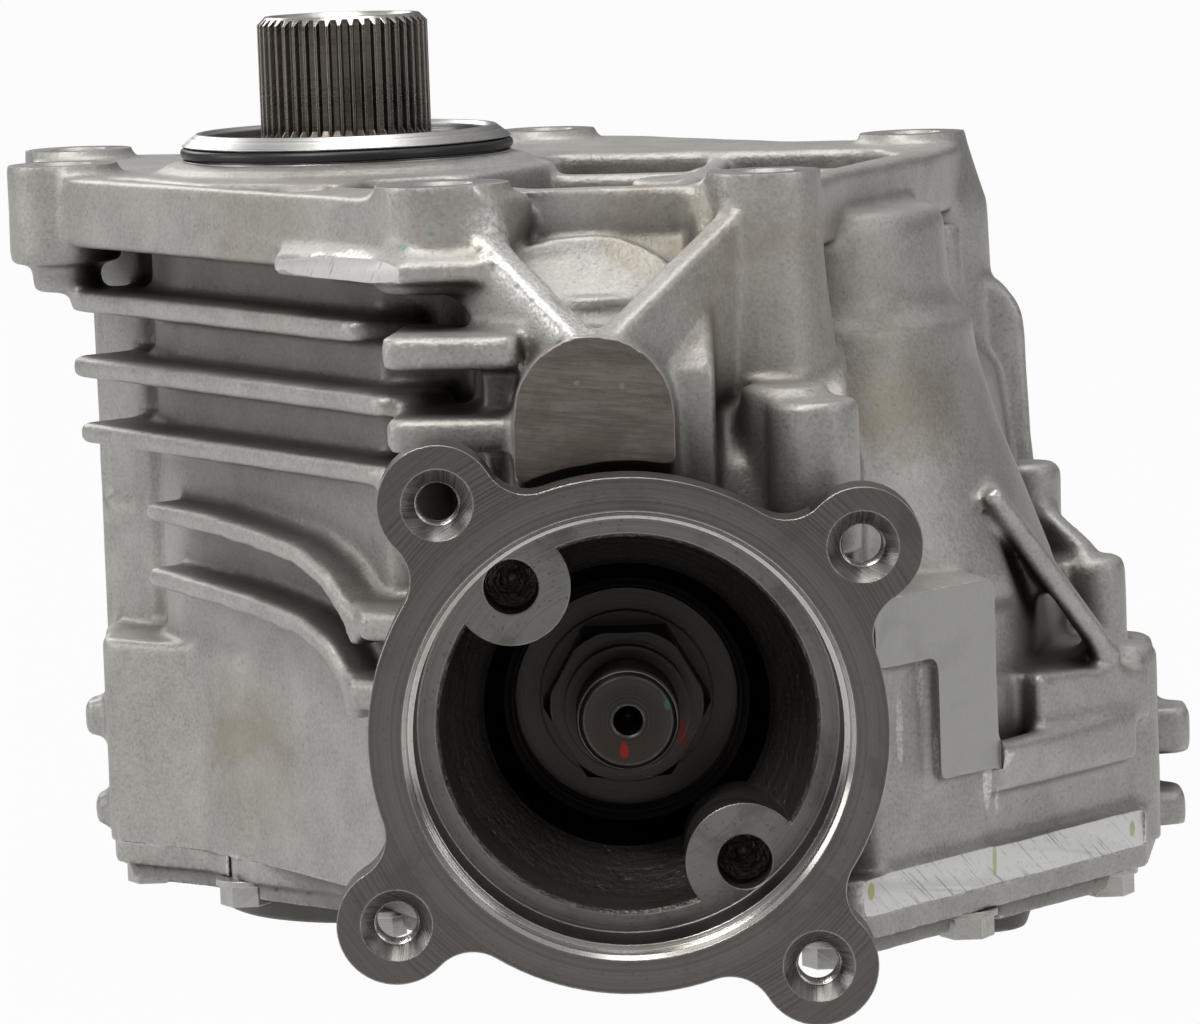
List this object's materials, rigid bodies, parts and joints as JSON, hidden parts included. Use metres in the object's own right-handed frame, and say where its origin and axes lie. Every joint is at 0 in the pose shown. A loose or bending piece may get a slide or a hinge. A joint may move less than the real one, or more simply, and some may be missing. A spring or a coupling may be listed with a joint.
{
  "type": "power take-off unit",
  "caption": "Cast aluminium gear unit that takes drive from a transaxle through a hollow splined shaft and turns it to a companion flange for the rear propshaft.",
  "frame": {"origin": "on the axis of the hollow input shaft, in the plane of the mounting face that meets the transaxle", "axes": "+Z along the input shaft towards the transaxle; the companion flange faces -Y"},
  "size_m": [0.2614, 0.257, 0.2],
  "materials": {
    "cast_aluminium": "as cast with turned faces",
    "cover_aluminium": "as cast",
    "zinc_bolts": "zinc plated",
    "dark_steel": "turned, dark oxide",
    "spline_steel": "hardened, dark brown",
    "gear_steel": "ground",
    "bearing_steel": "ground and polished",
    "cage_steel": "pressed sheet",
    "shim_steel": "cold rolled",
    "rubber_black": "satin",
    "seal_rubber": "satin",
    "plug_steel": "zinc plated",
    "washer_copper": "soft annealed",
    "vent_plastic": "moulded"
  },
  "bodies": {
    "housing": {"main_case": "cast_aluminium", "bottom_cover": "cover_aluminium", "cover_bolts": "zinc_bolts", "cover_dowels": "shim_steel", "pilot_o_ring": "rubber_black", "input_oil_seal": "seal_rubber", "halfshaft_oil_seal": "seal_rubber", "pinion_oil_seal": "seal_rubber", "input_upper_cup": "bearing_steel", "input_lower_cup": "bearing_steel", "transfer_upper_cup": "bearing_steel", "transfer_lower_cup": "bearing_steel", "pinion_head_cup": "bearing_steel", "pinion_tail_cup": "bearing_steel", "input_preload_shim": "shim_steel", "transfer_preload_shim": "shim_steel", "fill_plug": "plug_steel", "fill_plug_washer": "washer_copper", "drain_plug": "plug_steel", "drain_plug_washer": "washer_copper", "breather": "vent_plastic"},
    "input": {"input_shaft": "spline_steel", "input_gear": "gear_steel", "input_upper_cone": "bearing_steel", "input_lower_cone": "bearing_steel", "input_rollers": "bearing_steel", "input_cages": "cage_steel"},
    "transfer": {"transfer_shaft": "gear_steel", "driven_gear": "gear_steel", "ring_gear": "gear_steel", "ring_gear_bolts": "zinc_bolts", "transfer_upper_cone": "bearing_steel", "transfer_lower_cone": "bearing_steel", "transfer_rollers": "bearing_steel", "transfer_cages": "cage_steel"},
    "pinion": {"drive_pinion": "dark_steel", "pinion_head_cone": "bearing_steel", "pinion_tail_cone": "bearing_steel", "pinion_rollers": "bearing_steel", "pinion_cages": "cage_steel", "pinion_shim": "shim_steel", "collapsible_spacer": "shim_steel", "companion_flange": "dark_steel", "pinion_nut": "dark_steel"}
  },
  "joints": [
    {"name": "transfer_spin", "type": "hinge", "parent": "housing", "child": "transfer", "pos_m": [0.08452, 0.009, -0.08], "axis": [0, 0, 1], "continuous": true},
    {"name": "input_spin", "type": "hinge", "parent": "housing", "child": "input", "pos_m": [0, 0, -0.06], "axis": [0, 0, 1], "continuous": true},
    {"name": "pinion_spin", "type": "hinge", "parent": "housing", "child": "pinion", "pos_m": [0.058, -0.08, -0.108], "axis": [0, 1, 0], "continuous": true}
  ],
  "couplings": [
    {"joint": "input_spin", "follows": "transfer_spin", "ratio": -1.4286},
    {"joint": "pinion_spin", "follows": "transfer_spin", "ratio": -3}
  ]
}
